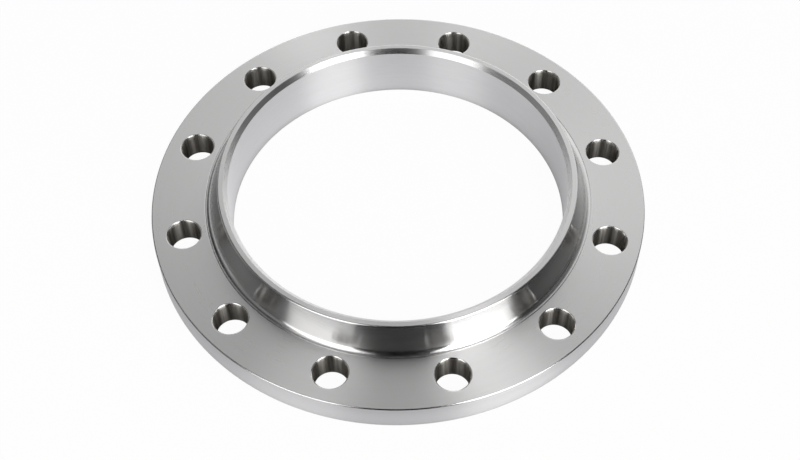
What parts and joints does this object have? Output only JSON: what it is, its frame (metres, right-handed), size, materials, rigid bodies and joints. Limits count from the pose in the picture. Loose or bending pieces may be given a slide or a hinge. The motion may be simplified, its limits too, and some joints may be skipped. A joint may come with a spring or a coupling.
{
  "type": "slip-on pipe flange",
  "caption": "Hubbed slip-on pipe flange: a turned steel ring with a short conical collar round its bore, a ring of bolt holes and a raised gasket face underneath.",
  "frame": {"origin": "centre of the raised gasket face, on the axis of the pipe; the flange lies on that face", "axes": "+Z along the pipe's axis towards the hub's end; +X and +Y run midway between two bolt holes"},
  "size_m": [0.405, 0.405, 0.05],
  "materials": {
    "turned_steel": "satin turned faces, bright turned hub wall, plain drilled holes"
  },
  "bodies": {
    "root": {"flange": "turned_steel"}
  },
  "joints": []
}
